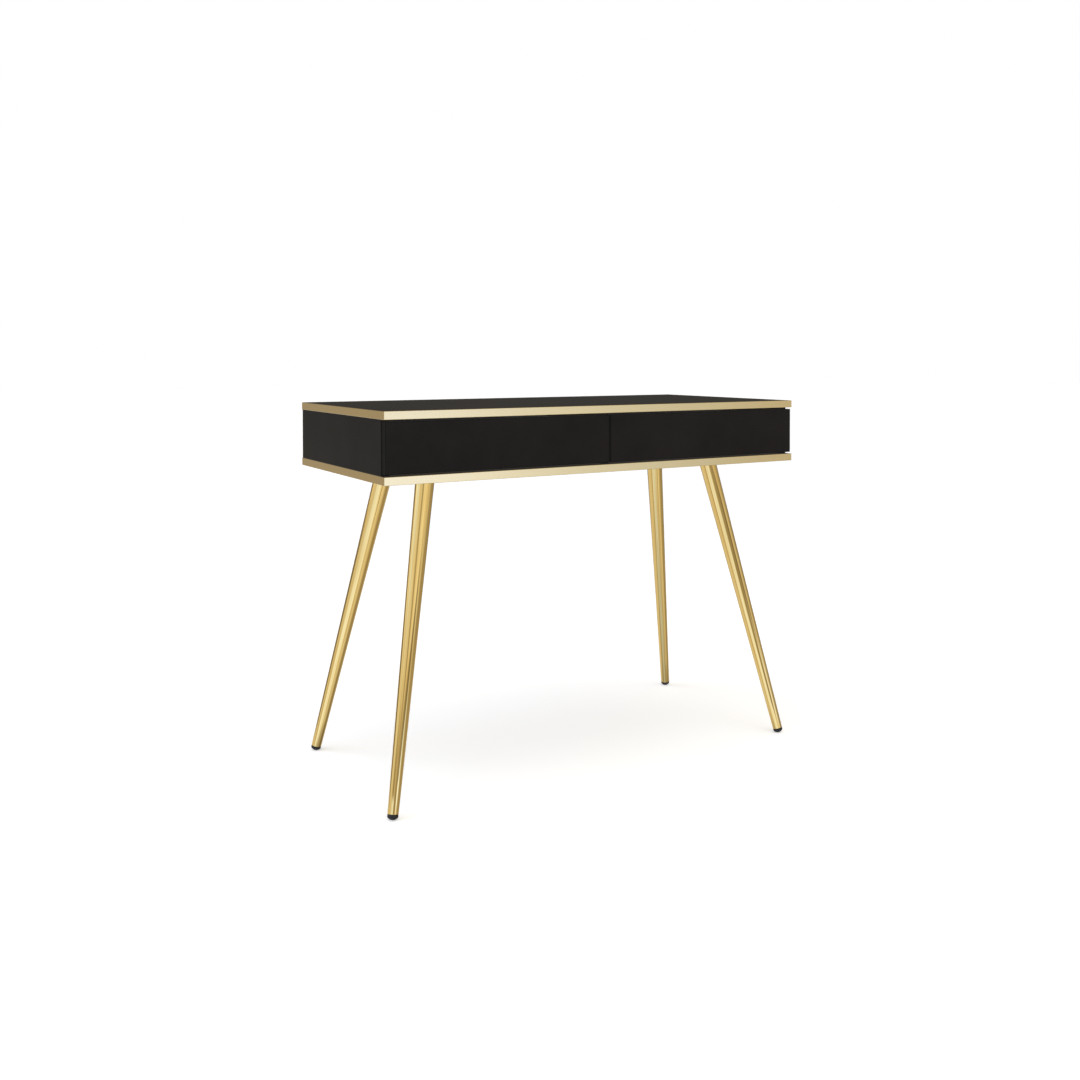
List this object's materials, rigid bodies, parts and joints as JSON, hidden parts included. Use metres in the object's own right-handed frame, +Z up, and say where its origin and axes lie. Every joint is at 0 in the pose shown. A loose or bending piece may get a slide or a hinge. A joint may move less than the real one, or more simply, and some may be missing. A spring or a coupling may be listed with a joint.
{
  "type": "writing desk with drawers",
  "caption": "Black writing desk with gold edge bands, push-to-open drawers under the top and splayed, tapered gold legs.",
  "frame": {"origin": "on the floor under the middle of the desk", "axes": "+X along the desk to the right as seen from the front, +Y to the back, +Z up"},
  "size_m": [1, 0.5, 0.78],
  "materials": {
    "black_laminate": "matt black melamine on chipboard",
    "gold_edge_band": "metallised gold edge band",
    "gold_plated_steel": "polished gold-coloured plating on steel tube",
    "black_plastic": "glossy moulded plastic",
    "black_edge_band": "matt edge band",
    "drawer_board": "dark paper foil on chipboard",
    "hardboard": "lacquered hardboard",
    "beech": "ribbed beech",
    "zinc_steel": "zinc plated",
    "slide_steel": "zinc plated strip",
    "zinc_alloy": "die-cast",
    "grey_plastic": "moulded"
  },
  "bodies": {
    "desk": {"back_panel": "black_laminate", "bottom_board": "black_laminate", "bottom_edge_bands": "gold_edge_band", "case_cam_bolts": "zinc_steel", "case_cam_locks": "zinc_alloy", "case_dowels": "beech", "case_rail_screws": "zinc_steel", "case_screws": "zinc_steel", "centre_divider": "black_laminate", "glide_back_left": "black_plastic", "glide_back_right": "black_plastic", "glide_front_left": "black_plastic", "glide_front_right": "black_plastic", "latch_screws": "zinc_steel", "left_fixed_rails": "slide_steel", "left_latch_housing": "grey_plastic", "left_side_panel": "black_laminate", "leg_back_left": "gold_plated_steel", "leg_back_right": "gold_plated_steel", "leg_front_left": "gold_plated_steel", "leg_front_right": "gold_plated_steel", "leg_plates": "zinc_steel", "leg_screws": "zinc_steel", "right_fixed_rails": "slide_steel", "right_latch_housing": "grey_plastic", "right_side_panel": "black_laminate", "top_board": "black_laminate", "top_edge_bands": "gold_edge_band"},
    "left_drawer": {"left_drawer_front": "black_laminate", "left_drawer_front_bands": "black_edge_band", "left_drawer_left_wall": "drawer_board", "left_drawer_right_wall": "drawer_board", "left_drawer_box_front": "drawer_board", "left_drawer_box_back": "drawer_board", "left_drawer_bottom": "hardboard", "left_drawer_rails": "slide_steel", "left_drawer_rail_screws": "zinc_steel", "left_drawer_box_screws": "zinc_steel", "left_drawer_front_screws": "zinc_steel"},
    "left_middle_slide": {"left_middle_rails": "slide_steel"},
    "left_outer_cages": {"left_outer_ball_cages": "slide_steel"},
    "left_inner_cages": {"left_inner_ball_cages": "slide_steel"},
    "left_plunger": {"left_latch_plunger": "grey_plastic"},
    "right_drawer": {"right_drawer_front": "black_laminate", "right_drawer_front_bands": "black_edge_band", "right_drawer_left_wall": "drawer_board", "right_drawer_right_wall": "drawer_board", "right_drawer_box_front": "drawer_board", "right_drawer_box_back": "drawer_board", "right_drawer_bottom": "hardboard", "right_drawer_rails": "slide_steel", "right_drawer_rail_screws": "zinc_steel", "right_drawer_box_screws": "zinc_steel", "right_drawer_front_screws": "zinc_steel"},
    "right_middle_slide": {"right_middle_rails": "slide_steel"},
    "right_outer_cages": {"right_outer_ball_cages": "slide_steel"},
    "right_inner_cages": {"right_inner_ball_cages": "slide_steel"},
    "right_plunger": {"right_latch_plunger": "grey_plastic"}
  },
  "joints": [
    {"name": "left_drawer_slide", "type": "slide", "parent": "desk", "child": "left_drawer", "axis": [0, -1, 0], "range_m": [-0.002, 0.38]},
    {"name": "left_middle_rail_slide", "type": "slide", "parent": "desk", "child": "left_middle_slide", "axis": [0, -1, 0], "range_m": [-0.0012, 0.1902]},
    {"name": "left_outer_cage_slide", "type": "slide", "parent": "desk", "child": "left_outer_cages", "axis": [0, -1, 0], "range_m": [-0.0007, 0.0952]},
    {"name": "left_inner_cage_slide", "type": "slide", "parent": "desk", "child": "left_inner_cages", "axis": [0, -1, 0], "range_m": [-0.0017, 0.2852]},
    {"name": "left_latch_plunger_slide", "type": "slide", "parent": "desk", "child": "left_plunger", "axis": [0, -1, 0], "range_m": [-0.0003, 0.0192]},
    {"name": "right_drawer_slide", "type": "slide", "parent": "desk", "child": "right_drawer", "axis": [0, -1, 0], "range_m": [-0.002, 0.38]},
    {"name": "right_middle_rail_slide", "type": "slide", "parent": "desk", "child": "right_middle_slide", "axis": [0, -1, 0], "range_m": [-0.0012, 0.1902]},
    {"name": "right_outer_cage_slide", "type": "slide", "parent": "desk", "child": "right_outer_cages", "axis": [0, -1, 0], "range_m": [-0.0007, 0.0952]},
    {"name": "right_inner_cage_slide", "type": "slide", "parent": "desk", "child": "right_inner_cages", "axis": [0, -1, 0], "range_m": [-0.0017, 0.2852]},
    {"name": "right_latch_plunger_slide", "type": "slide", "parent": "desk", "child": "right_plunger", "axis": [0, -1, 0], "range_m": [-0.0003, 0.0192]}
  ],
  "couplings": [
    {"joint": "left_middle_rail_slide", "follows": "left_drawer_slide", "ratio": 0.5},
    {"joint": "left_outer_cage_slide", "follows": "left_drawer_slide", "ratio": 0.25},
    {"joint": "left_inner_cage_slide", "follows": "left_drawer_slide", "ratio": 0.75},
    {"joint": "left_latch_plunger_slide", "follows": "left_drawer_slide", "ratio": 0.05},
    {"joint": "right_middle_rail_slide", "follows": "right_drawer_slide", "ratio": 0.5},
    {"joint": "right_outer_cage_slide", "follows": "right_drawer_slide", "ratio": 0.25},
    {"joint": "right_inner_cage_slide", "follows": "right_drawer_slide", "ratio": 0.75},
    {"joint": "right_latch_plunger_slide", "follows": "right_drawer_slide", "ratio": 0.05}
  ]
}
